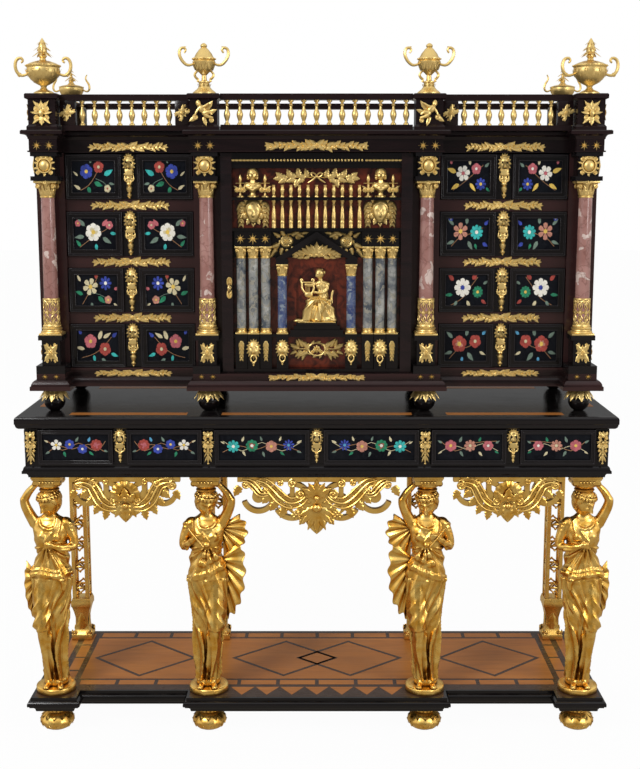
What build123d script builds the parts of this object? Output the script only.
from build123d import *
from dataclasses import dataclass
from math import cos, pi, radians, sin
import os

# A collector's cabinet on a caryatid stand. Millimetres, +Z up, the front faces -Y.
# The origin lies on the floor, under the middle of the table top.

os.makedirs("parts", exist_ok=True)

# ---------------------------------------------------------------- fits
GLUE_LINE = 0.2          # between boards that are glued to each other
SLIDE_GAP = 1.0          # around a drawer front
RUNNER_GAP = 0.3         # under a drawer's sides
PIN_CLEARANCE = 0.05     # radial, around a pin or an eye
SWING_GAP = 2.0          # above and below the door

# ---------------------------------------------------------------- stand, driving sizes
TOP_WIDTH = 1800.0
TOP_DEPTH = 600.0
TOP_THICKNESS = 38.0
TOP_LIP = 16.0
FRIEZE_HEIGHT = 110.0
FRIEZE_SETBACK = 24.0
SKIRT_HEIGHT = 42.0
SKIRT_LIP = 10.0
FIGURE_HEIGHT = 695.0
PLATFORM_THICKNESS = 50.0
PLATFORM_LIP = 10.0
PLATFORM_SETBACK = 5.0
PLATFORM_BACK_SETBACK = 15.0
PLATFORM_RECESS = 56.0
CORNER_BLOCK = 162.0
PLATFORM_CENTRE_HALF = 414.0
BUN_DIAMETER = 110.0
BUN_HEIGHT = 55.0
FOOT_NECK_HEIGHT = 20.0
BOARD = 20.0
STILE_WIDTH = 33.0
CORNER_POST = 40.0

# ---------------------------------------------------------------- stand, derived levels and lines
TOP_HALF = TOP_WIDTH / 2
TOP_FRONT = -TOP_DEPTH / 2
TOP_BACK = TOP_DEPTH / 2
platform_low = BUN_HEIGHT + FOOT_NECK_HEIGHT
platform_high = platform_low + PLATFORM_THICKNESS
skirt_low = platform_high + FIGURE_HEIGHT
frieze_low = skirt_low + SKIRT_HEIGHT
frieze_high = frieze_low + FRIEZE_HEIGHT
table_level = frieze_high + TOP_THICKNESS
frieze_half = TOP_HALF - FRIEZE_SETBACK
frieze_front = TOP_FRONT + FRIEZE_SETBACK
frieze_back = TOP_BACK - FRIEZE_SETBACK
platform_half = TOP_HALF - PLATFORM_SETBACK
platform_back = TOP_BACK - PLATFORM_BACK_SETBACK

# ---------------------------------------------------------------- caryatids and pilasters
FIGURE_BASE_DIAMETER = 122.0
FIGURE_BASE_HEIGHT = 20.0
FIGURE_INSET = 75.0
ABACUS_WIDTH = 92.0
ABACUS_HEIGHT = 34.0
PILASTER_WIDTH = 72.0
PILASTER_SHAFT_WIDTH = 58.0
PILASTER_WALL = 9.0
PILASTER_BASE_HEIGHT = 150.0
PILASTER_CAP_HEIGHT = 90.0
PILASTER_DEPTH_INSET = 57.0
PILASTER_WINDOWS = 5
outer_figure_x = platform_half - FIGURE_INSET
inner_figure_x = PLATFORM_CENTRE_HALF - FIGURE_INSET
figure_y = TOP_FRONT + CORNER_BLOCK / 2
pilaster_y = platform_back - PILASTER_DEPTH_INSET

# ---------------------------------------------------------------- aprons
APRON_THICKNESS = 22.0
APRON_SETBACK = 18.0
SIDE_APRON_HALF = 166.0
SIDE_APRON_DROP = 141.0
CENTRE_APRON_HALF = 240.0
CENTRE_APRON_DROP = 178.0
SCROLL_BAND = 15.0
apron_y = frieze_front + APRON_SETBACK
side_apron_x = (outer_figure_x + inner_figure_x) / 2

# ---------------------------------------------------------------- stand drawers
STAND_DRAWER_GAP = 2.0
STAND_DRAWER_LENGTH = 440.0
DRAWER_BOARD = 10.0
DRAWER_FRONT = 16.0
DRAWER_SIDE_DROP = 14.0
FRAME_RISE = 10.0
FRAME_TAPER = 20.0
FRAME_BAND = 13.0
PANEL_THICKNESS = 5.0
PANEL_SINK = 4.0
PANEL_FIT = 0.2
STAND_PULL_SPACE = 42.0

# ---------------------------------------------------------------- cabinet, driving sizes
COLUMN_OUTER_X = 802.0
COLUMN_INNER_X = 330.0
COLUMN_Y = -180.0
COLUMN_BLOCK = 86.0
CASE_BACK = 270.0
CABINET_LIP = 18.0
BALL_FOOT_HEIGHT = 69.0
BASE_MOULDING_HEIGHT = 30.0
PLINTH_HEIGHT = 19.0
SILL_HEIGHT = 6.0
DRAWER_ROWS = 4
FRAME_WIDTH = 168.0
DRAWER_HEIGHT = 134.0
PULL_SPACE = 48.0
RAIL_HEIGHT = 35.0
BAY_CLEARANCE = 2.0
TOP_GAP = 4.0
BAY_PLANE = -120.0
POST_PLANE = -134.0
POST_THICKNESS = 36.0
CABINET_DRAWER_LENGTH = 340.0
ENTABLATURE_HEIGHT = 63.0
CORNICE_HEIGHT = 26.0
BAY_SETBACK = 89.0
PANEL_BOARD = 12.0

# ---------------------------------------------------------------- cabinet, derived levels and lines
case_half = COLUMN_OUTER_X + COLUMN_BLOCK / 2
centre_half = COLUMN_INNER_X + COLUMN_BLOCK / 2
block_inner = COLUMN_OUTER_X - COLUMN_BLOCK / 2
cabinet_front = COLUMN_Y - COLUMN_BLOCK / 2
recess_front = cabinet_front + BAY_SETBACK
base_low = table_level + BALL_FOOT_HEIGHT
plinth_low = base_low + BASE_MOULDING_HEIGHT
case_low = plinth_low + PLINTH_HEIGHT
drawer_low = case_low + SILL_HEIGHT + SLIDE_GAP
row_pitch = DRAWER_HEIGHT + RAIL_HEIGHT + 2 * SLIDE_GAP
case_high = drawer_low + (DRAWER_ROWS - 1) * row_pitch + DRAWER_HEIGHT + TOP_GAP
gallery_low = case_high + ENTABLATURE_HEIGHT
drawer_width = 2 * FRAME_WIDTH + PULL_SPACE
bay_x = (COLUMN_OUTER_X + COLUMN_INNER_X) / 2
bay_inner = bay_x - drawer_width / 2 - BAY_CLEARANCE
bay_outer = bay_x + drawer_width / 2 + BAY_CLEARANCE
post_back = POST_PLANE + POST_THICKNESS

# ---------------------------------------------------------------- columns
PEDESTAL_FOOT_HEIGHT = 24.0
DIE_WIDTH = 55.0
DIE_HEIGHT = 77.0
DIE_CAP_WIDTH = 72.0
DIE_CAP_HEIGHT = 14.0
COLUMN_BASE_HEIGHT = 25.0
COLUMN_BASE_DIAMETER = 68.0
SLEEVE_HEIGHT = 86.0
SLEEVE_WALL = 2.6
SLEEVE_WINDOWS = 8
SHAFT_DIAMETER = 44.0
SHAFT_TOP_DIAMETER = 40.0
CAPITAL_HEIGHT = 50.0
CAPITAL_WIDTH = 68.0
BLOCK_MOULDING = 13.0
BLOCK_WIDTH = 60.0
BLOCK_CAP_HEIGHT = 12.0
pedestal_high = case_low + PEDESTAL_FOOT_HEIGHT + DIE_HEIGHT + DIE_CAP_HEIGHT
sleeve_low = pedestal_high + COLUMN_BASE_HEIGHT
MEDALLION_HEIGHT = 58.0
capital_high = case_high - BLOCK_CAP_HEIGHT - MEDALLION_HEIGHT - BLOCK_MOULDING
capital_low = capital_high - CAPITAL_HEIGHT

# ---------------------------------------------------------------- gallery and urns
GALLERY_BASE = 16.0
BALUSTER_HEIGHT = 71.0
GALLERY_RAIL = 18.0
POST_CAP_OVERHANG = 5.0
GALLERY_RAIL_WIDTH = 34.0
BALUSTER_DIAMETER = 19.0
BAY_BALUSTERS = 8
CENTRE_BALUSTERS = 15
SIDE_BALUSTERS = 8
CENTRE_RAIL_SETBACK = 26.0
BAY_RAIL_SETBACK = 62.0
CORNER_URN_HEIGHT = 160.0
INNER_URN_HEIGHT = 146.0
REAR_URN_HEIGHT = 112.0
rail_low = gallery_low + GALLERY_BASE + BALUSTER_HEIGHT
gallery_high = rail_low + GALLERY_RAIL
rear_post_y = CASE_BACK - COLUMN_BLOCK / 2

# ---------------------------------------------------------------- door
DOOR_HALF = 285.0
DOOR_FACE = -195.0
DOOR_SEAT_GAP = 0.5
DOOR_STILE = 33.0
DOOR_PANEL = 15.0
DOOR_REAR_HALF = 266.0
DOOR_REAR_REACH = 14.0
JAMB_HALF = 270.0
HEAD_HEIGHT = 20.0
SILL_STOP_HEIGHT = 18.0
PIVOT_INSET = 8.0
PIVOT_DIAMETER = 8.0
PIVOT_LENGTH = 22.0
PIVOT_SINK = 10.0
door_low = case_low + SLIDE_GAP
door_high = case_high - SWING_GAP
door_back = POST_PLANE - DOOR_SEAT_GAP
relief_half = DOOR_HALF - DOOR_STILE
panel_face = door_back - DOOR_PANEL
pivot_x = DOOR_HALF - PIVOT_INSET
pivot_y = DOOR_FACE + PIVOT_INSET

# Levels of the door's storeys, from its lower edge.
DOOR_BASE_HEIGHT = 10.0
DOOR_DIE_HEIGHT = 106.0
DOOR_COLUMN_HEIGHT = 264.0
STAR_FRIEZE_HEIGHT = 46.0
DOOR_LEDGE = 9.0
MASK_STOREY = 82.0
BUST_STOREY = 85.0
door_die_low = door_low + DOOR_BASE_HEIGHT
door_die_high = door_die_low + DOOR_DIE_HEIGHT
star_low = door_die_high + DOOR_COLUMN_HEIGHT
mask_low = star_low + STAR_FRIEZE_HEIGHT + DOOR_LEDGE
mask_high = mask_low + MASK_STOREY
bust_low = mask_high + DOOR_LEDGE
bust_high = bust_low + BUST_STOREY

DOOR_COLUMN_PITCH = 37.0
DOOR_COLUMN_X = 191.0
LAPIS_X = 104.0
DOOR_SHAFT_DIAMETER = 28.0
DOOR_BASE_DIAMETER = 35.0
DOOR_COLUMN_BASE = 18.0
DOOR_CAPITAL = 36.0
LAPIS_COLUMN_HEIGHT = 211.0
DOOR_COLUMN_Y = -173.0
DOOR_FORWARD_STEP = 4.0
PEDIMENT_HALF = 126.0
PEDIMENT_HEIGHT = 82.0
PEDIMENT_BAND = 16.0
NICHE_HALF = 62.0
NICHE_HEIGHT = 200.0
NICHE_DEPTH = 9.0
DOOR_BALUSTERS = 11
DOOR_BALUSTER_PITCH = 25.6
DOOR_BALUSTER_DIAMETER = 13.0
SMALL_BALUSTER_HEIGHT = 36.0

# ---------------------------------------------------------------- lock
KEY_X = -262.0
KEY_HEIGHT = 257.0
KEY_SHANK_DIAMETER = 5.0
KEY_BOW_RADIUS = 11.0
KEY_BOW_WIRE = 3.4
KEY_STANDOFF = 20.0
BOLT_HEIGHT = 22.0
BOLT_THICKNESS = 8.0
BOLT_LENGTH = 42.0
BOLT_THROW = 8.0
BOLT_CLEARANCE = 0.5

# ---------------------------------------------------------------- pulls
PULL_PIN_RADIUS = 2.0
PULL_EYE_RADIUS = 4.2
PULL_EYE_THICKNESS = 3.5
PULL_SIDE_GAP = 1.0
BAIL_WIRE = 2.2
MASK_DEPTH = 14.0
PULL_PIN_STANDOFF = 8.0
CABINET_PIN_SHARE = 0.56
CABINET_MASK = (36.0, 44.0)
CABINET_DROP = 74.0
STAND_PIN_SHARE = 0.52
STAND_MASK = (36.0, 38.0)
STAND_DROP = 50.0
CABINET_FRAME_BAND = 20.0
JAW_SHARE = 0.56

EIGHTH_TURN = 45.0
SIDES = {"left": -1, "right": 1}


@dataclass(frozen=True)
class Plan:
    """A break-front plan: pavilions at the ends and the middle stand in front of the bays."""

    half: float
    pavilion_inner: float
    centre: float
    front: float
    bay: float
    back: float


PLATFORM_PLAN = Plan(
    platform_half - PLATFORM_LIP,
    platform_half - CORNER_BLOCK + PLATFORM_LIP,
    PLATFORM_CENTRE_HALF - PLATFORM_LIP,
    TOP_FRONT + PLATFORM_LIP,
    TOP_FRONT + PLATFORM_RECESS + PLATFORM_LIP,
    platform_back,
)
CABINET_PLAN = Plan(case_half, block_inner, centre_half, cabinet_front, recess_front, CASE_BACK)


def break_front_corners(plan, grow):
    """Corners of the plan, pushed out by grow at the front and the sides and flush at the back."""
    right = [
        (plan.half + grow, plan.back),
        (plan.half + grow, plan.front - grow),
        (plan.pavilion_inner - grow, plan.front - grow),
        (plan.pavilion_inner - grow, plan.bay - grow),
        (plan.centre + grow, plan.bay - grow),
        (plan.centre + grow, plan.front - grow),
    ]
    left = [(-x, y) for x, y in reversed(right)]
    return [*reversed(left), *reversed(right)]


def box_corners(half, front, back, grow):
    """Corners of a plain rectangular plan, pushed out by grow on every side."""
    return [
        (-half - grow, front - grow),
        (half + grow, front - grow),
        (half + grow, back + grow),
        (-half - grow, back + grow),
    ]


def round_profile(start, end, bulge, facets=4):
    """Grow and level pairs along a quarter round from start to end, hollow where bulge is negative."""
    points = []
    for step in range(facets + 1):
        turn = radians(90.0 * step / facets)
        across, up = (sin(turn), 1 - cos(turn)) if bulge > 0 else (1 - cos(turn), sin(turn))
        points.append((start[0] + (end[0] - start[0]) * across, start[1] + (end[1] - start[1]) * up))
    return points


def moulded_course(corners_at, profile):
    """Stack lofts between the plan at each point of a moulding's profile, so the mitres run true."""
    for (low_grow, low), (high_grow, high) in zip(profile, profile[1:]):
        if high - low > GLUE_LINE / 2:
            with BuildSketch(Plane.XY.offset(low)) as lower:
                Polygon(*corners_at(low_grow), align=None)
            with BuildSketch(Plane.XY.offset(high)) as upper:
                Polygon(*corners_at(high_grow), align=None)
            loft(sections=[lower.sketch.face(), upper.sketch.face()], ruled=True)


def board(x_limits, y_limits, z_limits, mode=Mode.ADD):
    """A rectangular board between two limits on each axis."""
    middle = [sum(limits) / 2 for limits in (x_limits, y_limits, z_limits)]
    with Locations(tuple(middle)):
        Box(*[max(limits) - min(limits) for limits in (x_limits, y_limits, z_limits)], mode=mode)


def front_plane(x, y, z):
    """A plane that faces the viewer, with its x to the right and its y upwards."""
    return Plane(origin=(x, y, z), x_dir=(1, 0, 0), z_dir=(0, -1, 0))


def limb(start, end, start_radius, end_radius):
    """A tapered round bar between two points."""
    direction = Vector(*end) - Vector(*start)
    middle = (Vector(*start) + Vector(*end)) * 0.5
    with Locations(Plane(origin=middle, z_dir=direction.normalized())):
        if start_radius == end_radius:
            Cylinder(start_radius, direction.length)
        else:
            Cone(start_radius, end_radius, direction.length)


def turned(profile):
    """Revolve a profile of radius and height pairs about the vertical axis."""
    with BuildSketch(Plane.XZ) as half_section:
        with BuildLine():
            Polyline((0, profile[0][1]), *profile, (0, profile[-1][1]), close=True)
        make_face()
    revolve(half_section.sketch, axis=Axis.Z)


def save(piece, name):
    """Label a finished piece and write it."""
    piece.part.label = name
    export_step(piece.part, f"parts/{name}.step")


# ================================================================ stand: feet and platform
with BuildPart() as bun_foot:
    with BuildSketch(Plane.XZ):
        with BuildLine():
            pad = BUN_DIAMETER * 0.28
            Line((0, 0), (pad, 0))
            ThreePointArc((pad, 0), (BUN_DIAMETER / 2, BUN_HEIGHT * 0.48), (pad + 7, BUN_HEIGHT))
            ThreePointArc(
                (pad + 7, BUN_HEIGHT),
                (pad + 2, BUN_HEIGHT + FOOT_NECK_HEIGHT / 2),
                (pad + 12, BUN_HEIGHT + FOOT_NECK_HEIGHT),
            )
            Line((pad + 12, BUN_HEIGHT + FOOT_NECK_HEIGHT), (0, BUN_HEIGHT + FOOT_NECK_HEIGHT))
            Line((0, BUN_HEIGHT + FOOT_NECK_HEIGHT), (0, 0))
        make_face()
    revolve(axis=Axis.Z)

foot_places = [
    (side * x, y)
    for side in SIDES.values()
    for x in (outer_figure_x, inner_figure_x)
    for y in (figure_y, pilaster_y)
]
with BuildPart() as stand_feet:
    with Locations(*foot_places):
        add(bun_foot.part)
save(stand_feet, "stand_feet")

platform_profile = [
    (-14.0, platform_low),
    *round_profile((-12.0, platform_low + 2), (4.0, platform_low + 18), -1),
    (4.0, platform_low + 22),
    *round_profile((PLATFORM_LIP - 4, platform_low + 22), (PLATFORM_LIP, platform_low + 25), 1, 2),
    (PLATFORM_LIP, platform_low + 31),
    *round_profile((PLATFORM_LIP, platform_low + 31), (0.0, platform_low + 40), -1),
    (0.0, platform_high),
]
with BuildPart() as platform:
    moulded_course(lambda grow: break_front_corners(PLATFORM_PLAN, grow), platform_profile)
save(platform, "platform")

# ================================================================ stand: caryatids
# Radii of the figure from the hem upwards, each at its share of the body's height.
BODY_RINGS = (
    (46.0, 0.00),
    (48.0, 0.03),
    (39.0, 0.12),
    (42.0, 0.36),
    (48.0, 0.56),
    (45.0, 0.62),
    (34.0, 0.70),
    (42.0, 0.79),
    (38.0, 0.85),
    (19.0, 0.885),
    (17.0, 0.92),
)
HEAD_SHARE = 0.13
HEAD_WIDTH = 62.0
ELBOW_REACH = 78.0


def caryatid(raised_side, fans):
    """A draped standing woman who carries the frieze on one raised arm and her head.

    raised_side is the side of the lifted arm.
    fans lists the height and the reach of each fan of drapery on that side.
    """
    body_low = platform_high + FIGURE_BASE_HEIGHT
    body_high = skirt_low - ABACUS_HEIGHT
    tall = body_high - body_low
    shoulder = body_low + tall * 0.85
    head_middle = body_high - tall * HEAD_SHARE / 2
    with BuildPart() as figure:
        with Locations((0, 0, platform_high + FIGURE_BASE_HEIGHT / 2)):
            Cylinder(FIGURE_BASE_DIAMETER / 2, FIGURE_BASE_HEIGHT)
        turned([(radius, body_low + tall * share) for radius, share in BODY_RINGS])
        with Locations((0, -4, head_middle)):
            Sphere(HEAD_WIDTH / 2)
        with Locations((0, 0, head_middle)):
            Cylinder(HEAD_WIDTH * 0.46, tall * HEAD_SHARE)
        with Locations((0, 0, body_high + ABACUS_HEIGHT * 0.25)):
            Box(ABACUS_WIDTH * 0.8, ABACUS_WIDTH * 0.8, ABACUS_HEIGHT * 0.5)
        with Locations((0, 0, skirt_low - ABACUS_HEIGHT * 0.25)):
            Box(ABACUS_WIDTH, ABACUS_WIDTH, ABACUS_HEIGHT * 0.5)
        for volute_side in SIDES.values():
            with Locations((volute_side * ABACUS_WIDTH * 0.4, 0, body_high + ABACUS_HEIGHT * 0.3)):
                Cylinder(ABACUS_HEIGHT * 0.36, ABACUS_WIDTH * 0.92, rotation=(90, 0, 0))
        elbow = (raised_side * ELBOW_REACH, -6, shoulder + 48)
        limb((raised_side * 42, 0, shoulder - 8), elbow, 19, 15)
        limb(elbow, (raised_side * 44, -4, body_high - 4), 14, 10)
        with Locations(elbow):
            Sphere(15)
        low_elbow = (-raised_side * 60, -8, shoulder - 92)
        limb((-raised_side * 43, 0, shoulder - 6), low_elbow, 18, 14)
        limb(low_elbow, (raised_side * 6, -46, shoulder - 74), 13, 10)
        with Locations(low_elbow):
            Sphere(14)
        for height, reach in fans:
            with BuildSketch(front_plane(raised_side * 24, 6, body_low + tall * height)):
                with BuildLine():
                    tip = raised_side * reach
                    ThreePointArc((0, reach * 0.5), (tip * 0.9, reach * 0.45), (tip, -reach * 0.3))
                    ThreePointArc((tip, -reach * 0.3), (tip * 0.5, -reach * 0.62), (0, -reach * 0.5))
                    Line((0, -reach * 0.5), (0, reach * 0.5))
                make_face()
            extrude(amount=9, both=True)
    return figure.part


OUTER_FANS = ((0.24, 52.0),)
INNER_FANS = ((0.60, 44.0), (0.27, 50.0))
FIGURES = {
    "caryatid_outer_left": (-outer_figure_x, -1, OUTER_FANS),
    "caryatid_inner_left": (-inner_figure_x, 1, INNER_FANS),
    "caryatid_inner_right": (inner_figure_x, -1, INNER_FANS),
    "caryatid_outer_right": (outer_figure_x, 1, OUTER_FANS),
}
for name, (figure_x, raised_side, fans) in FIGURES.items():
    with BuildPart() as placed_figure:
        with Locations((figure_x, figure_y)):
            add(caryatid(raised_side, fans))
    save(placed_figure, name)

# ================================================================ stand: rear pilasters
with BuildPart() as pilaster:
    shaft_low = platform_high + PILASTER_BASE_HEIGHT
    shaft_high = skirt_low - PILASTER_CAP_HEIGHT
    half = PILASTER_WIDTH / 2
    shaft_half = PILASTER_SHAFT_WIDTH / 2
    pilaster_profile = [
        (0.0, platform_high),
        (0.0, platform_high + 18),
        *round_profile((-2.0, platform_high + 18), (-18.0, platform_high + 46), -1),
        *round_profile((-18.0, platform_high + 52), (0.0, platform_high + 84), 1),
        *round_profile((0.0, platform_high + 96), (-20.0, shaft_low - 18), -1),
        (-4.0, shaft_low - 18),
        (-4.0, shaft_low),
    ]
    moulded_course(lambda grow: box_corners(half, -half, half, grow), pilaster_profile)
    board((-shaft_half, shaft_half), (-shaft_half, shaft_half), (shaft_low, shaft_high))
    cap_profile = [
        (-4.0, shaft_high),
        (-4.0, shaft_high + 14),
        *round_profile((-16.0, shaft_high + 14), (-2.0, skirt_low - 30), -1),
        (-2.0, skirt_low - 24),
        (4.0, skirt_low - 24),
        (4.0, skirt_low),
    ]
    moulded_course(lambda grow: box_corners(half, -half, half, grow), cap_profile)
    window_pitch = (shaft_high - shaft_low) / PILASTER_WINDOWS
    window_half = shaft_half - PILASTER_WALL
    for turn in (0, 90):
        wall_plane = Plane.XZ.rotated((0, 0, turn))
        with BuildSketch(wall_plane):
            for count in range(PILASTER_WINDOWS):
                with Locations((0, shaft_low + window_pitch * (count + 0.5))):
                    RectangleRounded(2 * window_half, window_pitch - PILASTER_WALL, window_half * 0.9)
        extrude(amount=PILASTER_WIDTH, both=True, mode=Mode.SUBTRACT)

pilaster_places = [
    (side * x, pilaster_y) for side in SIDES.values() for x in (outer_figure_x, inner_figure_x)
]
with BuildPart() as rear_pilasters:
    with Locations(*pilaster_places):
        add(pilaster.part)
save(rear_pilasters, "rear_pilasters")


# ================================================================ stand: aprons
def scroll_arc(centre, radius, start, sweep):
    """A flat band along an arc, as in a C-scroll."""
    with BuildLine() as band:
        inner = CenterArc(centre, radius - SCROLL_BAND / 2, start, sweep)
        outer = CenterArc(centre, radius + SCROLL_BAND / 2, start, sweep)
        Line(inner @ 0, outer @ 0)
        Line(inner @ 1, outer @ 1)
    make_face(band.edges())


def apron(x, half, drop, eye):
    """A scrolled apron that hangs under the skirt: a palmette pendant between paired C-scrolls."""
    with BuildPart() as ornament:
        with BuildSketch(front_plane(x, apron_y + APRON_THICKNESS / 2, skirt_low)):
            with Locations((0, -SCROLL_BAND / 2)):
                Rectangle(2 * half, SCROLL_BAND)
            for side in SIDES.values():
                inner_x = side * eye
                outer_x = side * (half - eye * 0.86)
                scroll_arc((inner_x, -eye * 1.02), eye * 0.72, 90 - side * 10, side * 250)
                with Locations((inner_x, -eye * 1.02)):
                    Circle(eye * 0.3)
                scroll_arc((outer_x, -eye * 0.82), eye * 0.62, 90 + side * 20, side * 230)
                with Locations((outer_x, -eye * 0.82)):
                    Circle(eye * 0.26)
                with Locations((inner_x, -eye * 0.66), (outer_x, -eye * 0.46)):
                    Rectangle(SCROLL_BAND, eye * 0.8)
            with BuildLine():
                ThreePointArc((-eye * 0.62, -eye * 0.9), (-eye * 0.5, -drop * 0.74), (0, -drop))
                ThreePointArc((0, -drop), (eye * 0.5, -drop * 0.74), (eye * 0.62, -eye * 0.9))
                ThreePointArc((eye * 0.62, -eye * 0.9), (0, -eye * 0.35), (-eye * 0.62, -eye * 0.9))
            make_face()
            with Locations((0, -eye * 0.62)):
                Rectangle(SCROLL_BAND, eye * 1.2)
        extrude(amount=APRON_THICKNESS)
    return ornament.part


CENTRE_EYE = 74.0
SIDE_EYE = 58.0
with BuildPart() as stand_aprons:
    for side in SIDES.values():
        add(apron(side * side_apron_x, SIDE_APRON_HALF, SIDE_APRON_DROP, SIDE_EYE))
    add(apron(0, CENTRE_APRON_HALF, CENTRE_APRON_DROP, CENTRE_EYE))
save(stand_aprons, "stand_aprons")

# ================================================================ stand: frame and top
skirt_profile = [
    (-6.0, skirt_low),
    *round_profile((-6.0, skirt_low + 2), (SKIRT_LIP - 4, skirt_low + 14), -1),
    (SKIRT_LIP, skirt_low + 14),
    (SKIRT_LIP, skirt_low + 22),
    *round_profile((SKIRT_LIP - 3, skirt_low + 22), (0.0, skirt_low + 36), -1),
    (0.0, frieze_low),
]
back_board_face = frieze_back - BOARD
stile_x = frieze_half / 3 + STILE_WIDTH
centre_stile_inner = stile_x - STILE_WIDTH / 2
centre_stile_outer = stile_x + STILE_WIDTH / 2
corner_inner = frieze_half - CORNER_POST
with BuildPart() as stand_frame:
    moulded_course(lambda grow: box_corners(frieze_half, frieze_front, frieze_back, grow), skirt_profile)
    rise = (frieze_low + GLUE_LINE, frieze_high)
    board((-frieze_half, frieze_half), (back_board_face, frieze_back), rise)
    for side in SIDES.values():
        board((side * corner_inner, side * frieze_half), (frieze_front, frieze_front + CORNER_POST), rise)
        board(
            (side * (frieze_half - BOARD), side * frieze_half),
            (frieze_front + CORNER_POST + GLUE_LINE, back_board_face - GLUE_LINE),
            rise,
        )
        board(
            (side * (corner_inner + STAND_DRAWER_GAP), side * (frieze_half - BOARD - GLUE_LINE)),
            (frieze_front + CORNER_POST + GLUE_LINE, back_board_face - GLUE_LINE),
            (frieze_low + GLUE_LINE, frieze_low + BOARD),
        )
        board(
            (side * centre_stile_inner, side * centre_stile_outer),
            (frieze_front, back_board_face - GLUE_LINE),
            rise,
        )
save(stand_frame, "stand_frame")

top_profile = [
    (-FRIEZE_SETBACK + TOP_LIP - 14, frieze_high),
    *round_profile((-14.0, frieze_high), (-2.0, frieze_high + 14), 1),
    (0.0, frieze_high + 16),
    (0.0, frieze_high + 28),
    *round_profile((0.0, frieze_high + 28), (-8.0, table_level), -1),
]
with BuildPart() as stand_top:
    moulded_course(lambda grow: box_corners(TOP_HALF, TOP_FRONT, TOP_BACK, grow), top_profile)
save(stand_top, "stand_top")


# ================================================================ drawers
@dataclass(frozen=True)
class DrawerSpec:
    """Where a drawer stands and what its front carries."""

    x: float
    face: float
    low: float
    runner: float
    width: float
    height: float
    length: float
    frame_width: float
    frame_band: float
    mask_size: tuple
    drop_length: float
    pin_share: float

    @property
    def panel_size(self):
        return self.frame_width - 2 * self.frame_band, self.height - 2 * self.frame_band

    @property
    def frame_xs(self):
        reach = (self.width - self.frame_width) / 2
        return (-reach, reach)

    @property
    def pin_z(self):
        return self.low + self.height * self.pin_share


def mask_boss(spec):
    """The lion mask that carries the drop: a lobed mane, a muzzle, a jaw and the hinge pin."""
    wide, tall = spec.mask_size
    centre_z = spec.pin_z + tall * 0.68
    jaw_high = spec.pin_z + tall * 0.3
    with BuildPart() as mask:
        with BuildSketch(front_plane(spec.x, spec.face - GLUE_LINE, centre_z)):
            Ellipse(wide / 2, tall / 2)
            for turn in range(0, 360, int(EIGHTH_TURN)):
                with Locations((wide * 0.38 * cos(radians(turn)), tall * 0.38 * sin(radians(turn)))):
                    Circle(wide * 0.17)
        extrude(amount=MASK_DEPTH * 0.5)
        with BuildSketch(front_plane(spec.x, spec.face - GLUE_LINE, centre_z)):
            Ellipse(wide * 0.3, tall * 0.4)
        extrude(amount=MASK_DEPTH)
        with Locations((spec.x, spec.face - PULL_PIN_STANDOFF, spec.pin_z)):
            Cylinder(PULL_PIN_RADIUS, pull_pin_length(wide), rotation=(0, 90, 0))
        board(
            (spec.x - wide * JAW_SHARE / 2, spec.x + wide * JAW_SHARE / 2),
            (spec.face - MASK_DEPTH, spec.face - GLUE_LINE),
            (spec.pin_z - PULL_EYE_RADIUS, jaw_high),
        )
    return mask.part


def pull_pin_length(mask_width):
    """The pin stands out on both sides of the mask's jaw, through the eyes of the drop."""
    return mask_width * JAW_SHARE + 2 * (PULL_EYE_THICKNESS + PULL_SIDE_GAP) + 2


def drop_pull(spec):
    """The drop: two eyes on the mask's pin, bail legs that meet in a ball, a leaf and an end ball."""
    pin_z = spec.pin_z
    length = spec.drop_length
    y = spec.face - PULL_PIN_STANDOFF
    eye_x = spec.mask_size[0] * JAW_SHARE / 2 + PULL_SIDE_GAP + PULL_EYE_THICKNESS / 2
    ball = length * 0.085
    join_z = pin_z - length * 0.42
    with BuildPart() as drop:
        for side in SIDES.values():
            with Locations((spec.x + side * eye_x, y, pin_z)):
                Cylinder(PULL_EYE_RADIUS, PULL_EYE_THICKNESS, rotation=(0, 90, 0))
            bend = (spec.x + side * eye_x * 0.97, y, pin_z - length * 0.22)
            eye_foot = (spec.x + side * eye_x, y, pin_z - PULL_PIN_RADIUS - 1.2)
            limb(eye_foot, bend, BAIL_WIRE * 0.8, BAIL_WIRE)
            limb(bend, (spec.x, y, join_z), BAIL_WIRE, BAIL_WIRE)
            with Locations(bend):
                Sphere(BAIL_WIRE)
        with Locations((spec.x, y, join_z)):
            Sphere(ball)
        with BuildSketch(front_plane(spec.x, y, join_z - length * 0.24)):
            with BuildLine():
                ThreePointArc((0, length * 0.2), (length * 0.11, length * 0.02), (0, -length * 0.2))
                ThreePointArc((0, -length * 0.2), (-length * 0.11, length * 0.02), (0, length * 0.2))
            make_face()
        extrude(amount=ball * 0.6, both=True)
        with Locations((spec.x, y, join_z - length * 0.49)):
            Sphere(ball * 0.9)
        with Locations((spec.x, y, pin_z)):
            Cylinder(PULL_PIN_RADIUS + PIN_CLEARANCE, 3 * eye_x, rotation=(0, 90, 0), mode=Mode.SUBTRACT)
    return drop.part


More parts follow.
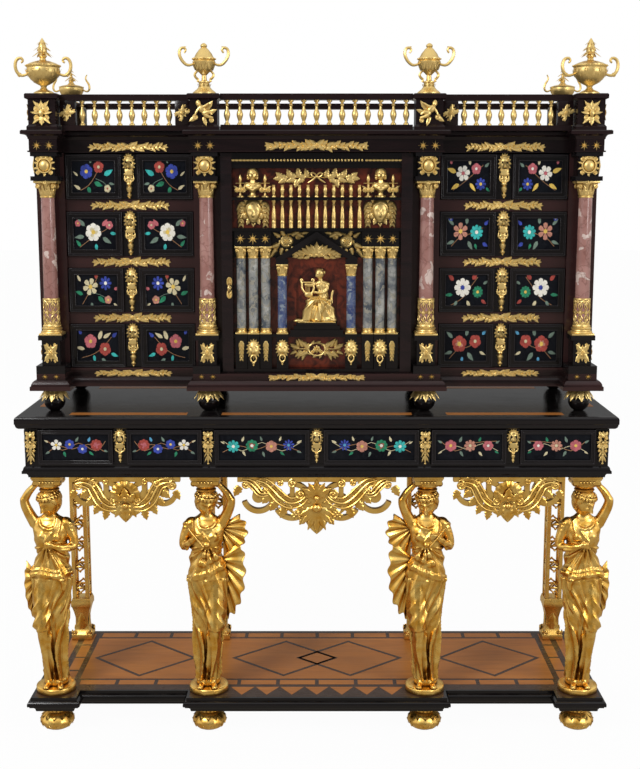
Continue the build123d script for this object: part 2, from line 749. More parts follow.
def drawer_body(spec):
    """A dovetailed box behind a front with two raised frames, and the pull's mask on the front."""
    left = spec.x - spec.width / 2
    right = spec.x + spec.width / 2
    middle = spec.low + spec.height / 2
    back = spec.face + spec.length
    front_back = spec.face + DRAWER_FRONT
    side_high = spec.low + spec.height - DRAWER_SIDE_DROP
    side_low = spec.runner + RUNNER_GAP
    with BuildPart() as drawer:
        board((left, right), (spec.face, front_back), (spec.low, spec.low + spec.height))
        with BuildSketch(front_plane(spec.x, spec.face, middle)):
            with Locations(*[(x, 0) for x in spec.frame_xs]):
                Rectangle(spec.frame_width, spec.height)
        extrude(amount=FRAME_RISE, taper=FRAME_TAPER)
        pocket = PANEL_SINK + PANEL_THICKNESS
        with BuildSketch(front_plane(spec.x, spec.face - FRAME_RISE, middle)):
            with Locations(*[(x, 0) for x in spec.frame_xs]):
                Rectangle(*spec.panel_size)
        extrude(amount=-pocket, mode=Mode.SUBTRACT)
        box_left = left + DRAWER_BOARD / 2
        box_right = right - DRAWER_BOARD / 2
        box_front = front_back + GLUE_LINE
        for outer, inner in ((box_left, box_left + DRAWER_BOARD), (box_right, box_right - DRAWER_BOARD)):
            board((outer, inner), (box_front, back), (side_low, side_high))
        floor_limits = (box_left + DRAWER_BOARD + GLUE_LINE, box_right - DRAWER_BOARD - GLUE_LINE)
        board(floor_limits, (back - DRAWER_BOARD, back), (side_low, side_high))
        floor_z = (side_low, side_low + DRAWER_BOARD * 0.6)
        board(floor_limits, (box_front, back - DRAWER_BOARD - GLUE_LINE), floor_z)
        add(mask_boss(spec))
    return drawer


def drawer_panels(spec):
    """The two inlaid stone slabs, let into the frames."""
    width, height = spec.panel_size
    middle = spec.low + spec.height / 2
    with BuildPart() as slabs:
        with BuildSketch(front_plane(spec.x, spec.face - FRAME_RISE + PANEL_SINK, middle)):
            with Locations(*[(x, 0) for x in spec.frame_xs]):
                Rectangle(width - 2 * PANEL_FIT, height - 2 * PANEL_FIT)
        extrude(amount=-(PANEL_THICKNESS - PANEL_FIT))
    return slabs


for side_name, side in SIDES.items():
    for row in range(DRAWER_ROWS):
        row_low = drawer_low + (DRAWER_ROWS - 1 - row) * row_pitch
        spec = DrawerSpec(
            x=side * bay_x,
            face=BAY_PLANE,
            low=row_low,
            runner=row_low - SLIDE_GAP,
            width=drawer_width,
            height=DRAWER_HEIGHT,
            length=CABINET_DRAWER_LENGTH,
            frame_width=FRAME_WIDTH,
            frame_band=CABINET_FRAME_BAND,
            mask_size=CABINET_MASK,
            drop_length=CABINET_DROP,
            pin_share=CABINET_PIN_SHARE,
        )
        name = f"drawer_{side_name}_{row + 1}"
        save(drawer_body(spec), name)
        save(drawer_panels(spec), f"{name}_stones")
        with BuildPart() as drop:
            add(drop_pull(spec))
        save(drop, f"{name}_drop")

side_drawer_width = corner_inner - centre_stile_outer - 2 * STAND_DRAWER_GAP
centre_drawer_width = 2 * centre_stile_inner - 2 * STAND_DRAWER_GAP
side_drawer_x = (corner_inner + centre_stile_outer) / 2
STAND_DRAWERS = {
    "left": (-side_drawer_x, side_drawer_width),
    "centre": (0.0, centre_drawer_width),
    "right": (side_drawer_x, side_drawer_width),
}
for place, (x, width) in STAND_DRAWERS.items():
    spec = DrawerSpec(
        x=x,
        face=frieze_front,
        low=frieze_low + SLIDE_GAP,
        runner=frieze_low,
        width=width,
        height=FRIEZE_HEIGHT - 2 * STAND_DRAWER_GAP,
        length=STAND_DRAWER_LENGTH,
        frame_width=(width - STAND_PULL_SPACE) / 2,
        frame_band=FRAME_BAND,
        mask_size=STAND_MASK,
        drop_length=STAND_DROP,
        pin_share=STAND_PIN_SHARE,
    )
    name = f"stand_drawer_{place}"
    save(drawer_body(spec), name)
    save(drawer_panels(spec), f"{name}_stones")
    with BuildPart() as drop:
        add(drop_pull(spec))
    save(drop, f"{name}_drop")

# ================================================================ cabinet: feet and plinth
with BuildPart() as ball_foot:
    radius = BALL_FOOT_HEIGHT * 0.47
    pad = radius * 0.4
    with BuildSketch(Plane.XZ):
        with BuildLine():
            Line((0, 0), (pad, 0))
            ThreePointArc((pad, 0), (radius, radius * 0.92), (pad + 4, radius * 1.8))
            Line((pad + 4, radius * 1.8), (radius, BALL_FOOT_HEIGHT - 6))
            Line((radius, BALL_FOOT_HEIGHT - 6), (radius, BALL_FOOT_HEIGHT))
            Line((radius, BALL_FOOT_HEIGHT), (0, BALL_FOOT_HEIGHT))
            Line((0, BALL_FOOT_HEIGHT), (0, 0))
        make_face()
    revolve(axis=Axis.Z)

column_places = [(side * x, COLUMN_Y) for side in SIDES.values() for x in (COLUMN_OUTER_X, COLUMN_INNER_X)]
ball_places = [(x, y) for x, front in column_places for y in (front, rear_post_y)]
with BuildPart() as cabinet_feet:
    with Locations(*[(x, y, table_level) for x, y in ball_places]):
        add(ball_foot.part)
save(cabinet_feet, "cabinet_feet")

plinth_profile = [
    (CABINET_LIP - 6, base_low),
    (CABINET_LIP, base_low),
    (CABINET_LIP, base_low + 12),
    *round_profile((CABINET_LIP - 3, base_low + 12), (2.0, plinth_low), -1),
    (0.0, plinth_low),
    (0.0, case_low),
]
with BuildPart() as cabinet_plinth:
    moulded_course(lambda grow: break_front_corners(CABINET_PLAN, grow), plinth_profile)
    with Locations((pivot_x, pivot_y, case_low)):
        Cylinder(PIVOT_DIAMETER / 2 + PIN_CLEARANCE, 2 * PIVOT_SINK, mode=Mode.SUBTRACT)
save(cabinet_plinth, "cabinet_plinth")

# ================================================================ cabinet: case
bottom_high = case_low + SILL_HEIGHT
inner_low = bottom_high + GLUE_LINE
inner_high = case_high - GLUE_LINE
back_face = CASE_BACK - PANEL_BOARD
shelf_level = (inner_low + inner_high) / 2
bolt_level = door_low + KEY_HEIGHT
bolt_y = door_back + DOOR_REAR_REACH / 2
with BuildPart() as cabinet_case:
    board((-case_half, case_half), (POST_PLANE, CASE_BACK), (case_low + GLUE_LINE, bottom_high))
    board((-case_half, case_half), (back_face, CASE_BACK), (inner_low, inner_high))
    board(
        (-case_half + BOARD, case_half - BOARD),
        (POST_PLANE + BOARD, CASE_BACK - BOARD),
        (case_high, case_high + PANEL_BOARD),
    )
    for side in SIDES.values():
        depth = (post_back + GLUE_LINE, back_face - GLUE_LINE)
        board((side * bay_outer, side * case_half), (POST_PLANE, post_back), (inner_low, inner_high))
        board((side * JAMB_HALF, side * bay_inner), (POST_PLANE, post_back), (inner_low, inner_high))
        board((side * (case_half - BOARD), side * case_half), depth, (inner_low, inner_high))
        board((side * (bay_inner - BOARD), side * bay_inner), depth, (inner_low, inner_high))
        bay_span = (side * (bay_inner + GLUE_LINE), side * (bay_outer - GLUE_LINE))
        floor_span = (side * (bay_inner + GLUE_LINE), side * (case_half - BOARD - GLUE_LINE))
        guide_span = (side * bay_outer, side * (bay_outer + BOARD))
        for row in range(DRAWER_ROWS):
            runner_high = drawer_low + row * row_pitch - SLIDE_GAP
            if row:
                rail_span = (runner_high - RAIL_HEIGHT, runner_high)
                board(bay_span, (BAY_PLANE, post_back - GLUE_LINE), rail_span)
                board(floor_span, depth, (runner_high - PANEL_BOARD, runner_high))
            board(guide_span, depth, (runner_high + GLUE_LINE, runner_high + PULL_SPACE))
    jamb_span = (-JAMB_HALF + GLUE_LINE, JAMB_HALF - GLUE_LINE)
    board(jamb_span, (POST_PLANE, post_back), (inner_high - HEAD_HEIGHT, inner_high))
    board(jamb_span, (POST_PLANE, post_back), (inner_low, inner_low + SILL_STOP_HEIGHT))
    cupboard_half = bay_inner - BOARD - GLUE_LINE
    board(
        (-cupboard_half, cupboard_half),
        (post_back + BOARD, back_face - GLUE_LINE),
        (shelf_level, shelf_level + PANEL_BOARD),
    )
    board(
        (-JAMB_HALF - BOLT_THROW - BOLT_CLEARANCE - SLIDE_GAP, -JAMB_HALF + GLUE_LINE),
        (bolt_y - BOLT_THICKNESS / 2 - BOLT_CLEARANCE, bolt_y + BOLT_THICKNESS / 2 + BOLT_CLEARANCE),
        (bolt_level - BOLT_HEIGHT / 2 - BOLT_CLEARANCE, bolt_level + BOLT_HEIGHT / 2 + BOLT_CLEARANCE),
        mode=Mode.SUBTRACT,
    )
save(cabinet_case, "cabinet_case")

# ================================================================ cabinet: pedestals and medallion blocks
with BuildPart() as column_pedestals:
    die_low = case_low + PEDESTAL_FOOT_HEIGHT
    die_high = die_low + DIE_HEIGHT
    block_low = capital_high
    stages = (
        (COLUMN_BLOCK / 2, case_low + GLUE_LINE, die_low),
        (DIE_WIDTH / 2, die_low, die_high),
        (DIE_CAP_WIDTH / 2, die_high, pedestal_high),
        (DIE_CAP_WIDTH / 2 + 4, block_low, block_low + BLOCK_MOULDING),
        (BLOCK_WIDTH / 2, block_low + BLOCK_MOULDING, case_high - BLOCK_CAP_HEIGHT),
        (COLUMN_BLOCK / 2 - 4, case_high - BLOCK_CAP_HEIGHT, case_high - GLUE_LINE),
    )
    for x, y in column_places:
        inward = 1 if x < 0 else -1
        for reach, low, high in stages:
            near_door = min(reach, abs(COLUMN_INNER_X) - DOOR_HALF - BAY_CLEARANCE * 3)
            inner_reach = near_door if abs(x) == COLUMN_INNER_X else reach
            depth = (y - reach, POST_PLANE - GLUE_LINE)
            board((x - inward * reach, x + inward * inner_reach), depth, (low, high))
save(column_pedestals, "column_pedestals")

# ================================================================ cabinet: columns
with BuildPart() as column_shaft:
    with BuildSketch(Plane.XZ):
        with BuildLine():
            foot_radius = SHAFT_DIAMETER / 2
            head_radius = SHAFT_TOP_DIAMETER / 2
            swell_z = sleeve_low + (capital_low - sleeve_low) * 0.4
            Line((0, sleeve_low), (foot_radius, sleeve_low))
            swell = (foot_radius - 0.6, swell_z)
            ThreePointArc((foot_radius, sleeve_low), swell, (head_radius, capital_low))
            Line((head_radius, capital_low), (0, capital_low))
            Line((0, capital_low), (0, sleeve_low))
        make_face()
    revolve(axis=Axis.Z)
with BuildPart() as column_shafts:
    with Locations(*column_places):
        add(column_shaft.part)
save(column_shafts, "column_shafts")

with BuildPart() as column_base:
    base_radius = COLUMN_BASE_DIAMETER / 2
    sleeve_radius = SHAFT_DIAMETER / 2 + PIN_CLEARANCE + SLEEVE_WALL
    with Locations((0, 0, pedestal_high + COLUMN_BASE_HEIGHT * 0.15)):
        Box(COLUMN_BASE_DIAMETER, COLUMN_BASE_DIAMETER, COLUMN_BASE_HEIGHT * 0.3)
    turned(
        [
            (base_radius - 1, pedestal_high + COLUMN_BASE_HEIGHT * 0.3),
            (base_radius - 1, pedestal_high + COLUMN_BASE_HEIGHT * 0.5),
            (base_radius - 6, pedestal_high + COLUMN_BASE_HEIGHT * 0.6),
            (base_radius - 7, pedestal_high + COLUMN_BASE_HEIGHT * 0.8),
            (sleeve_radius + 2, sleeve_low),
        ]
    )
    with BuildSketch(Plane.XY.offset(sleeve_low)):
        Circle(sleeve_radius)
        Circle(SHAFT_DIAMETER / 2 + PIN_CLEARANCE, mode=Mode.SUBTRACT)
    extrude(amount=SLEEVE_HEIGHT)
    window_width = 2 * pi * sleeve_radius / SLEEVE_WINDOWS * 0.62
    with BuildSketch(Plane.XZ) as sleeve_windows:
        for tier in (0.29, 0.72):
            with Locations((0, sleeve_low + SLEEVE_HEIGHT * tier)):
                SlotOverall(SLEEVE_HEIGHT * 0.34, window_width, rotation=90)
    with PolarLocations(0, SLEEVE_WINDOWS // 2, angular_range=180):
        extrude(sleeve_windows.sketch, amount=COLUMN_BASE_DIAMETER, both=True, mode=Mode.SUBTRACT)

with BuildPart() as column_capital:
    head_radius = SHAFT_TOP_DIAMETER / 2
    turned(
        [
            (head_radius + 3, capital_low),
            (head_radius + 3, capital_low + CAPITAL_HEIGHT * 0.1),
            (head_radius, capital_low + CAPITAL_HEIGHT * 0.16),
            (head_radius + 2, capital_low + CAPITAL_HEIGHT * 0.5),
            (head_radius + 9, capital_low + CAPITAL_HEIGHT * 0.84),
        ]
    )
    with Locations((0, 0, capital_high - CAPITAL_HEIGHT * 0.08)):
        Box(CAPITAL_WIDTH, CAPITAL_WIDTH, CAPITAL_HEIGHT * 0.16)
    for turn in range(4):
        reach = CAPITAL_WIDTH * 0.38
        angle = EIGHTH_TURN + turn * 90
        outward = (cos(radians(angle)), sin(radians(angle)))
        corner = (reach * outward[0], reach * outward[1], capital_high - CAPITAL_HEIGHT * 0.28)
        with Locations(Plane(origin=corner, z_dir=(-outward[1], outward[0], 0))):
            Cylinder(CAPITAL_HEIGHT * 0.17, CAPITAL_WIDTH * 0.22)

with BuildPart() as column_mounts:
    with Locations(*column_places):
        add(column_base.part)
    with Locations(*column_places):
        add(column_capital.part)
save(column_mounts, "column_mounts")

# ================================================================ cabinet: entablature
entablature_profile = [
    (2.0, case_high),
    (2.0, case_high + 4),
    (-2.0, case_high + 4),
    (-2.0, gallery_low - CORNICE_HEIGHT),
    *round_profile((0.0, gallery_low - CORNICE_HEIGHT), (12.0, gallery_low - 12), -1),
    (CABINET_LIP, gallery_low - 12),
    (CABINET_LIP, gallery_low - 3),
    (CABINET_LIP - 3, gallery_low),
]
with BuildPart() as cabinet_entablature:
    moulded_course(lambda grow: break_front_corners(CABINET_PLAN, grow), entablature_profile)
    board(
        (-case_half + BOARD - GLUE_LINE, case_half - BOARD + GLUE_LINE),
        (POST_PLANE + BOARD - GLUE_LINE, CASE_BACK - BOARD + GLUE_LINE),
        (case_high, gallery_low - PANEL_BOARD),
        mode=Mode.SUBTRACT,
    )
    with Locations((pivot_x, pivot_y, case_high)):
        Cylinder(PIVOT_DIAMETER / 2 + PIN_CLEARANCE, 2 * PIVOT_SINK, mode=Mode.SUBTRACT)
save(cabinet_entablature, "cabinet_entablature")

# ================================================================ gallery
post_half = COLUMN_BLOCK / 2
centre_rail_y = cabinet_front + CENTRE_RAIL_SETBACK
bay_rail_y = cabinet_front + BAY_RAIL_SETBACK
run_low = gallery_low + GLUE_LINE
base_high = gallery_low + GALLERY_BASE
half_rail = GALLERY_RAIL_WIDTH / 2
post_places = [*column_places, *[(side * COLUMN_OUTER_X, rear_post_y) for side in SIDES.values()]]
post_profile = [
    (2.0, run_low),
    (2.0, run_low + GALLERY_BASE * 0.6),
    (-3.0, base_high),
    (-3.0, rail_low),
    (POST_CAP_OVERHANG, rail_low + 4),
    (POST_CAP_OVERHANG, gallery_high - 3),
    (POST_CAP_OVERHANG - 3, gallery_high),
]


def gallery_run(x_limits, y_limits):
    """The base and the top rail of one run of the balustrade."""
    board(x_limits, y_limits, (run_low, base_high))
    board(x_limits, y_limits, (rail_low, gallery_high))


with BuildPart() as gallery_post:
    moulded_course(lambda grow: box_corners(post_half, -post_half, post_half, grow), post_profile)

with BuildPart() as gallery_frame:
    with Locations(*post_places):
        add(gallery_post.part)
    clear = post_half + POST_CAP_OVERHANG + GLUE_LINE
    centre_span = COLUMN_INNER_X - clear
    gallery_run((-centre_span, centre_span), (centre_rail_y - half_rail, centre_rail_y + half_rail))
    rear_span = COLUMN_OUTER_X - clear
    gallery_run((-rear_span, rear_span), (rear_post_y - half_rail, rear_post_y + half_rail))
    for side in SIDES.values():
        gallery_run(
            (side * (COLUMN_INNER_X + clear), side * (COLUMN_OUTER_X - clear)),
            (bay_rail_y - half_rail, bay_rail_y + half_rail),
        )
        gallery_run(
            (side * (COLUMN_OUTER_X - half_rail), side * (COLUMN_OUTER_X + half_rail)),
            (COLUMN_Y + clear, rear_post_y - clear),
        )
save(gallery_frame, "gallery_frame")


def baluster(height, diameter, low):
    """A turned vase baluster that stands at the level low."""
    radius = diameter / 2
    shares = (
        (0.95, 0.0),
        (0.95, 0.10),
        (0.55, 0.14),
        (0.75, 0.22),
        (1.0, 0.36),
        (0.80, 0.52),
        (0.42, 0.74),
        (0.70, 0.80),
        (0.50, 0.86),
        (0.85, 0.92),
        (0.85, 1.0),
    )
    with BuildPart() as turning:
        turned([(radius * wide, low + height * share) for wide, share in shares])
    return turning.part


def spread(start, end, count):
    """Evenly spaced places between two limits, half a pitch in from each."""
    pitch = (end - start) / count
    return [start + pitch * (step + 0.5) for step in range(count)]


bay_run = (COLUMN_INNER_X + post_half, COLUMN_OUTER_X - post_half)
side_run = (COLUMN_Y + post_half, rear_post_y - post_half)
baluster_places = [
    *[(x, centre_rail_y) for x in spread(-centre_span, centre_span, CENTRE_BALUSTERS)],
    *[(side * x, bay_rail_y) for side in SIDES.values() for x in spread(*bay_run, BAY_BALUSTERS)],
    *[(side * COLUMN_OUTER_X, y) for side in SIDES.values() for y in spread(*side_run, SIDE_BALUSTERS)],
]
with BuildPart() as gallery_balusters:
    with Locations(*baluster_places):
        add(baluster(BALUSTER_HEIGHT - 2 * GLUE_LINE, BALUSTER_DIAMETER, base_high + GLUE_LINE))
save(gallery_balusters, "gallery_balusters")

# ================================================================ urns
CORNER_URN_SHARES = (
    (0.22, 0.0),
    (0.22, 0.05),
    (0.07, 0.10),
    (0.07, 0.15),
    (0.16, 0.20),
    (0.30, 0.30),
    (0.33, 0.42),
    (0.24, 0.54),
    (0.17, 0.58),
    (0.19, 0.62),
    (0.11, 0.66),
    (0.17, 0.74),
    (0.12, 0.88),
    (0.02, 1.0),
)
INNER_URN_SHARES = (
    (0.20, 0.0),
    (0.20, 0.05),
    (0.10, 0.12),
    (0.08, 0.20),
    (0.22, 0.28),
    (0.27, 0.45),
    (0.24, 0.60),
    (0.26, 0.64),
    (0.26, 0.68),
    (0.12, 0.80),
    (0.05, 0.90),
    (0.06, 0.95),
    (0.02, 1.0),
)
REAR_URN_SHARES = (
    (0.20, 0.0),
    (0.20, 0.06),
    (0.08, 0.14),
    (0.08, 0.24),
    (0.24, 0.36),
    (0.30, 0.52),
    (0.22, 0.64),
    (0.28, 0.68),
    (0.20, 0.78),
    (0.06, 0.86),
    (0.08, 0.92),
    (0.02, 1.0),
)
URN_WIRE = 3.6
HANDLE_START = 10.0
HANDLE_SWEEP = 215.0


def urn(height, shares, low, handle_radius, handle_share):
    """A turned urn with two scrolled handles."""
    with BuildPart() as vessel:
        turned([(height * wide, low + height * share) for wide, share in shares])
        handle_z = low + height * handle_share
        for side in SIDES.values():
            centre_x = side * height * max(wide for wide, share in shares)
            start = 90 + side * HANDLE_START
            with BuildLine(Plane.XZ):
                handle_path = CenterArc((centre_x, handle_z), handle_radius, start, -side * HANDLE_SWEEP)
            with BuildSketch(Plane(origin=handle_path @ 0, z_dir=handle_path % 0)):
                Circle(URN_WIRE)
            sweep(path=handle_path)
    return vessel.part


with BuildPart() as urns:
    urn_low = gallery_high + GLUE_LINE
    with Locations(*[(side * COLUMN_OUTER_X, COLUMN_Y) for side in SIDES.values()]):
        add(urn(CORNER_URN_HEIGHT, CORNER_URN_SHARES, urn_low, 20, 0.48))
    with Locations(*[(side * COLUMN_INNER_X, COLUMN_Y) for side in SIDES.values()]):
        add(urn(INNER_URN_HEIGHT, INNER_URN_SHARES, urn_low, 22, 0.56))
    with Locations(*[(side * COLUMN_OUTER_X, rear_post_y) for side in SIDES.values()]):
        add(urn(REAR_URN_HEIGHT, REAR_URN_SHARES, urn_low, 15, 0.56))
save(urns, "urns")

# ================================================================ door: pivots and leaf
with BuildPart() as door_pivots:
    with Locations(
        (pivot_x, pivot_y, case_low - PIVOT_SINK + PIVOT_LENGTH / 2),
        (pivot_x, pivot_y, case_high + PIVOT_SINK - PIVOT_LENGTH / 2),
    ):
        Cylinder(PIVOT_DIAMETER / 2, PIVOT_LENGTH)
save(door_pivots, "door_pivots")

die_half = DOOR_BASE_DIAMETER / 2
column_xs = [DOOR_COLUMN_X - DOOR_COLUMN_PITCH, DOOR_COLUMN_X, DOOR_COLUMN_X + DOOR_COLUMN_PITCH]
door_column_places = [
    (side * x, DOOR_COLUMN_Y - (DOOR_FORWARD_STEP if x == DOOR_COLUMN_X else 0))
    for side in SIDES.values()
    for x in column_xs
]
lapis_places = [(side * LAPIS_X, DOOR_COLUMN_Y) for side in SIDES.values()]
ledge_front = DOOR_COLUMN_Y - die_half - DOOR_FORWARD_STEP
with BuildPart() as door_leaf:
    board((-relief_half, relief_half), (panel_face, door_back), (door_low, door_high))
    rear_low = inner_low + SILL_STOP_HEIGHT + SWING_GAP
    rear_high = inner_high - HEAD_HEIGHT - SWING_GAP
    board((-DOOR_REAR_HALF, DOOR_REAR_HALF), (door_back, door_back + DOOR_REAR_REACH), (rear_low, rear_high))
    for side in SIDES.values():
        board((side * relief_half, side * DOOR_HALF), (DOOR_FACE, door_back), (door_low, door_high))
    relief_span = (-relief_half, relief_half)
    ledges = (
        (door_low, door_die_low),
        (star_low + STAR_FRIEZE_HEIGHT, mask_low),
        (mask_high, bust_low),
    )
    for low, high in ledges:
        board(relief_span, (ledge_front, panel_face), (low, high))
    cornice_steps = 3
    for step in range(cornice_steps):
        step_z = bust_high + (door_high - bust_high) * step / cornice_steps
        board(relief_span, (ledge_front + 12 - 6 * step, panel_face), (step_z, door_high))
    for x, y in [*door_column_places, *lapis_places]:
        board((x - die_half, x + die_half), (y - die_half, panel_face), (door_die_low, door_die_high))
    for side in SIDES.values():
        outer = side * (column_xs[2] + die_half)
        inner = side * (column_xs[0] - die_half)
        block_depth = (ledge_front + DOOR_FORWARD_STEP, panel_face)
        board((outer, inner), block_depth, (star_low, star_low + STAR_FRIEZE_HEIGHT))
        lapis_high = door_die_high + LAPIS_COLUMN_HEIGHT
        lapis_block = (side * (LAPIS_X - die_half), side * (LAPIS_X + die_half))
        board(lapis_block, block_depth, (lapis_high, lapis_high + PEDIMENT_BAND))
    eaves = door_die_high + LAPIS_COLUMN_HEIGHT + PEDIMENT_BAND - GLUE_LINE
    with BuildSketch(front_plane(0, panel_face, eaves)):
        with BuildLine():
            Polyline((-PEDIMENT_HALF, 0), (PEDIMENT_HALF, 0), (0, PEDIMENT_HEIGHT), close=True)
        make_face()
    extrude(amount=panel_face - ledge_front - DOOR_FORWARD_STEP)
    tympanum_half = PEDIMENT_HALF - 2 * PEDIMENT_BAND
    with BuildSketch(front_plane(0, ledge_front + DOOR_FORWARD_STEP, eaves)):
        with BuildLine():
            Polyline(
                (-tympanum_half, 0),
                (tympanum_half, 0),
                (0, tympanum_half * PEDIMENT_HEIGHT / PEDIMENT_HALF),
                close=True,
            )
        make_face()
    extrude(amount=-(panel_face - ledge_front - DOOR_FORWARD_STEP - 6), mode=Mode.SUBTRACT)
    with BuildSketch(front_plane(0, panel_face, door_die_high)):
        with Locations((0, (NICHE_HEIGHT - NICHE_HALF) / 2)):
            Rectangle(2 * NICHE_HALF, NICHE_HEIGHT - NICHE_HALF)
        with Locations((0, NICHE_HEIGHT - NICHE_HALF)):
            Circle(NICHE_HALF)
    extrude(amount=-NICHE_DEPTH, mode=Mode.SUBTRACT)
    plinth_steps = ((80.0, 12.0, 0.0), (70.0, 24.0, 7.0), (62.0, 32.0, 10.0))
    for reach, rise, back_step in plinth_steps:
        plinth_depth = (ledge_front + DOOR_FORWARD_STEP + 6 + back_step, panel_face + NICHE_DEPTH)
        board((-reach, reach), plinth_depth, (door_die_high - DOOR_LEDGE, door_die_high + rise))
    shelf_depth = (ledge_front + 10, panel_face)
    board((-relief_half, relief_half), shelf_depth, (door_die_high - DOOR_LEDGE, door_die_high))
    for z in (door_low, door_high):
        with Locations((pivot_x, pivot_y, z)):
            Cylinder(
                PIVOT_DIAMETER / 2 + PIN_CLEARANCE,
                2 * (PIVOT_LENGTH - PIVOT_SINK + SLIDE_GAP),
                mode=Mode.SUBTRACT,
            )
    bolt_reach = -DOOR_REAR_HALF + BOLT_LENGTH + BOLT_CLEARANCE
    board(
        (-DOOR_REAR_HALF - GLUE_LINE, bolt_reach),
        (bolt_y - BOLT_THICKNESS / 2 - BOLT_CLEARANCE, bolt_y + BOLT_THICKNESS / 2 + BOLT_CLEARANCE),
        (bolt_level - BOLT_HEIGHT / 2 - BOLT_CLEARANCE, bolt_level + BOLT_HEIGHT / 2 + BOLT_CLEARANCE),
        mode=Mode.SUBTRACT,
    )
    key_depth = bolt_y - BOLT_THICKNESS / 2 - BOLT_CLEARANCE - DOOR_FACE
    with Locations((KEY_X, DOOR_FACE + key_depth / 2, bolt_level)):
        Cylinder(
            KEY_SHANK_DIAMETER / 2 + PIN_CLEARANCE,
            key_depth + SLIDE_GAP,
            rotation=(90, 0, 0),
            mode=Mode.SUBTRACT,
        )
save(door_leaf, "door_leaf")

# ================================================================ door: columns, gilt work and figure
with BuildPart() as door_columns:
    for places, high in ((door_column_places, star_low), (lapis_places, lapis_high)):
        low_z = door_die_high + DOOR_COLUMN_BASE
        tall = high - DOOR_CAPITAL - low_z
        with Locations(*[(x, y, low_z + tall / 2) for x, y in places]):
            Cylinder(DOOR_SHAFT_DIAMETER / 2, tall)
save(door_columns, "door_columns")


def door_capital(low, high):
    """A small composite capital: bell, abacus and corner scrolls."""
    tall = high - low
    radius = DOOR_SHAFT_DIAMETER / 2
    with BuildPart() as capital:
        turned(
            [
                (radius + 1.5, low),
                (radius + 1.5, low + tall * 0.12),
                (radius - 1, low + tall * 0.2),
                (radius, low + tall * 0.5),
                (radius + 3, high - tall * 0.15),
            ]
        )
        with Locations((0, 0, high - tall * 0.09)):
            Box(2 * die_half, 2 * die_half, tall * 0.18)
    return capital.part


def door_column_foot():
    """The moulded base under a door column."""
    radius = DOOR_SHAFT_DIAMETER / 2
    with BuildPart() as foot:
        with Locations((0, 0, door_die_high + DOOR_COLUMN_BASE * 0.15)):
            Box(2 * die_half, 2 * die_half, DOOR_COLUMN_BASE * 0.3)
        turned(
            [
                (radius + 3, door_die_high + DOOR_COLUMN_BASE * 0.3),
                (radius + 3, door_die_high + DOOR_COLUMN_BASE * 0.55),
                (radius + 1, door_die_high + DOOR_COLUMN_BASE * 0.75),
                (radius + 1, door_die_high + DOOR_COLUMN_BASE),
            ]
        )
    return foot.part


BUST_HEIGHT = 70.0
DOOR_URN_HEIGHT = 64.0
MASK_WIDTH = 52.0
with BuildPart() as female_bust:
    turned([(13, 0), (13, 3), (7, 8), (7, 16), (12, 24)])
    with Locations((0, 0, BUST_HEIGHT * 0.42)):
        Box(44, 14, 16)
    limb((0, 0, BUST_HEIGHT * 0.5), (0, 0, BUST_HEIGHT * 0.7), 7, 6)
    with Locations((0, 0, BUST_HEIGHT * 0.82)):
        Sphere(BUST_HEIGHT * 0.175)
with BuildPart() as female_mask:
    with BuildSketch(front_plane(0, 0, 0)):
        Ellipse(MASK_WIDTH / 2, MASK_STOREY * 0.42)
    extrude(amount=10)
    with Locations((0, -MASK_WIDTH * 0.25, 0)):
        Sphere(MASK_WIDTH * 0.24)

gilt_y = DOOR_COLUMN_Y - 2
baluster_xs = [(count - (DOOR_BALUSTERS - 1) / 2) * DOOR_BALUSTER_PITCH for count in range(DOOR_BALUSTERS)]
with BuildPart() as door_gilt:
    with Locations(*door_column_places, *lapis_places):
        add(door_column_foot())
    with Locations(*door_column_places):
        add(door_capital(star_low - DOOR_CAPITAL, star_low))
    with Locations(*lapis_places):
        add(door_capital(lapis_high - DOOR_CAPITAL, lapis_high))
    with Locations(*[(x, gilt_y) for x in baluster_xs]):
        add(baluster(MASK_STOREY, DOOR_BALUSTER_DIAMETER, mask_low))
    with Locations(*[(x, gilt_y) for x in baluster_xs]):
        add(baluster(SMALL_BALUSTER_HEIGHT, DOOR_BALUSTER_DIAMETER, bust_low))
    for side in SIDES.values():
        with Locations((side * DOOR_COLUMN_X, gilt_y, bust_low)):
            add(female_bust.part)
        with Locations((side * DOOR_COLUMN_X, panel_face, mask_low + MASK_STOREY / 2)):
            add(female_mask.part)
        with Locations(*[(side * x, gilt_y) for x in (column_xs[0], column_xs[2])]):
            add(baluster(DOOR_URN_HEIGHT, 18, bust_low))
save(door_gilt, "door_gilt")

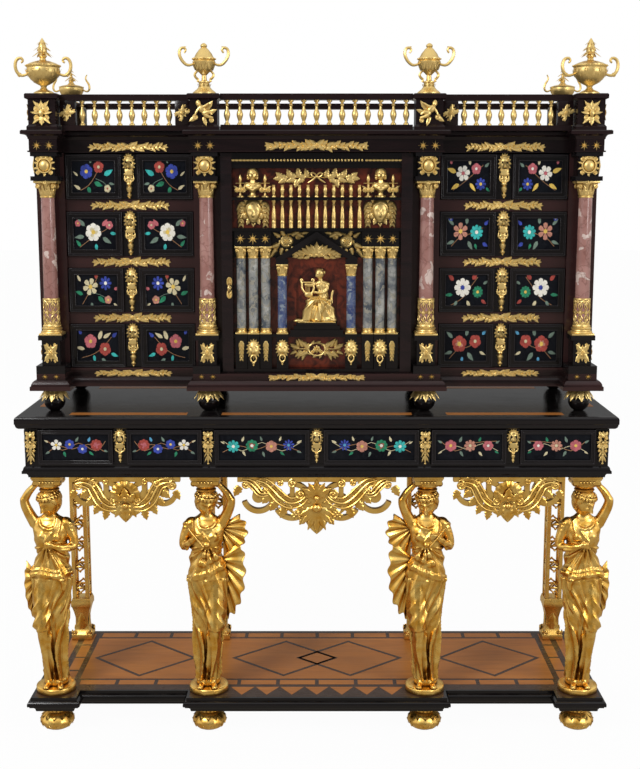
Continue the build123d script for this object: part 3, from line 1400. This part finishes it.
figure_low = door_die_high + plinth_steps[2][1]
figure_back = panel_face + NICHE_DEPTH
with BuildPart() as door_figure:
    board((-46, 50), (figure_back - 34, figure_back), (figure_low, figure_low + 6))
    with BuildSketch(front_plane(0, figure_back, figure_low + 5)):
        with BuildLine():
            Polyline((-40, 0), (44, 0), (40, 50), (30, 72), (-2, 78), (-14, 64), close=True)
        make_face()
    extrude(amount=30, taper=10)
    limb((20, figure_back - 19, figure_low + 60), (14, figure_back - 19, figure_low + 118), 15, 17)
    limb((14, figure_back - 19, figure_low + 112), (12, figure_back - 19, figure_low + 134), 8, 7)
    with Locations((10, figure_back - 19, figure_low + 142)):
        Sphere(13)
    limb((2, figure_back - 18, figure_low + 112), (-30, figure_back - 22, figure_low + 104), 6, 4.5)
    lyre_y = figure_back - 22
    for side in SIDES.values():
        limb((-16, lyre_y, figure_low + 76), (-28 + side * 14, lyre_y, figure_low + 122), 3, 3)
    limb((-46, lyre_y, figure_low + 118), (-10, lyre_y, figure_low + 118), 2.6, 2.6)
save(door_figure, "door_figure")

# ================================================================ lock: key and bolt
with BuildPart() as door_key:
    shank_end = bolt_y - BOLT_THICKNESS / 2 - 2 * BOLT_CLEARANCE
    shank_start = DOOR_FACE - KEY_STANDOFF
    with Locations((KEY_X, (shank_start + shank_end) / 2, bolt_level)):
        Cylinder(KEY_SHANK_DIAMETER / 2, shank_end - shank_start, rotation=(90, 0, 0))
    bow_y = shank_start
    with Locations(Plane(origin=(KEY_X, bow_y - KEY_BOW_RADIUS * 0.2, bolt_level), z_dir=(1, 0, 0))):
        Torus(KEY_BOW_RADIUS, KEY_BOW_WIRE)
    with Locations((KEY_X, DOOR_FACE - KEY_STANDOFF * 0.35, bolt_level)):
        Cylinder(KEY_SHANK_DIAMETER * 0.8, 3, rotation=(90, 0, 0))
save(door_key, "door_key")

with BuildPart() as lock_bolt:
    board(
        (-DOOR_REAR_HALF, -DOOR_REAR_HALF + BOLT_LENGTH - BOLT_THROW),
        (bolt_y - BOLT_THICKNESS / 2, bolt_y + BOLT_THICKNESS / 2),
        (bolt_level - BOLT_HEIGHT / 2, bolt_level + BOLT_HEIGHT / 2),
    )
save(lock_bolt, "lock_bolt")
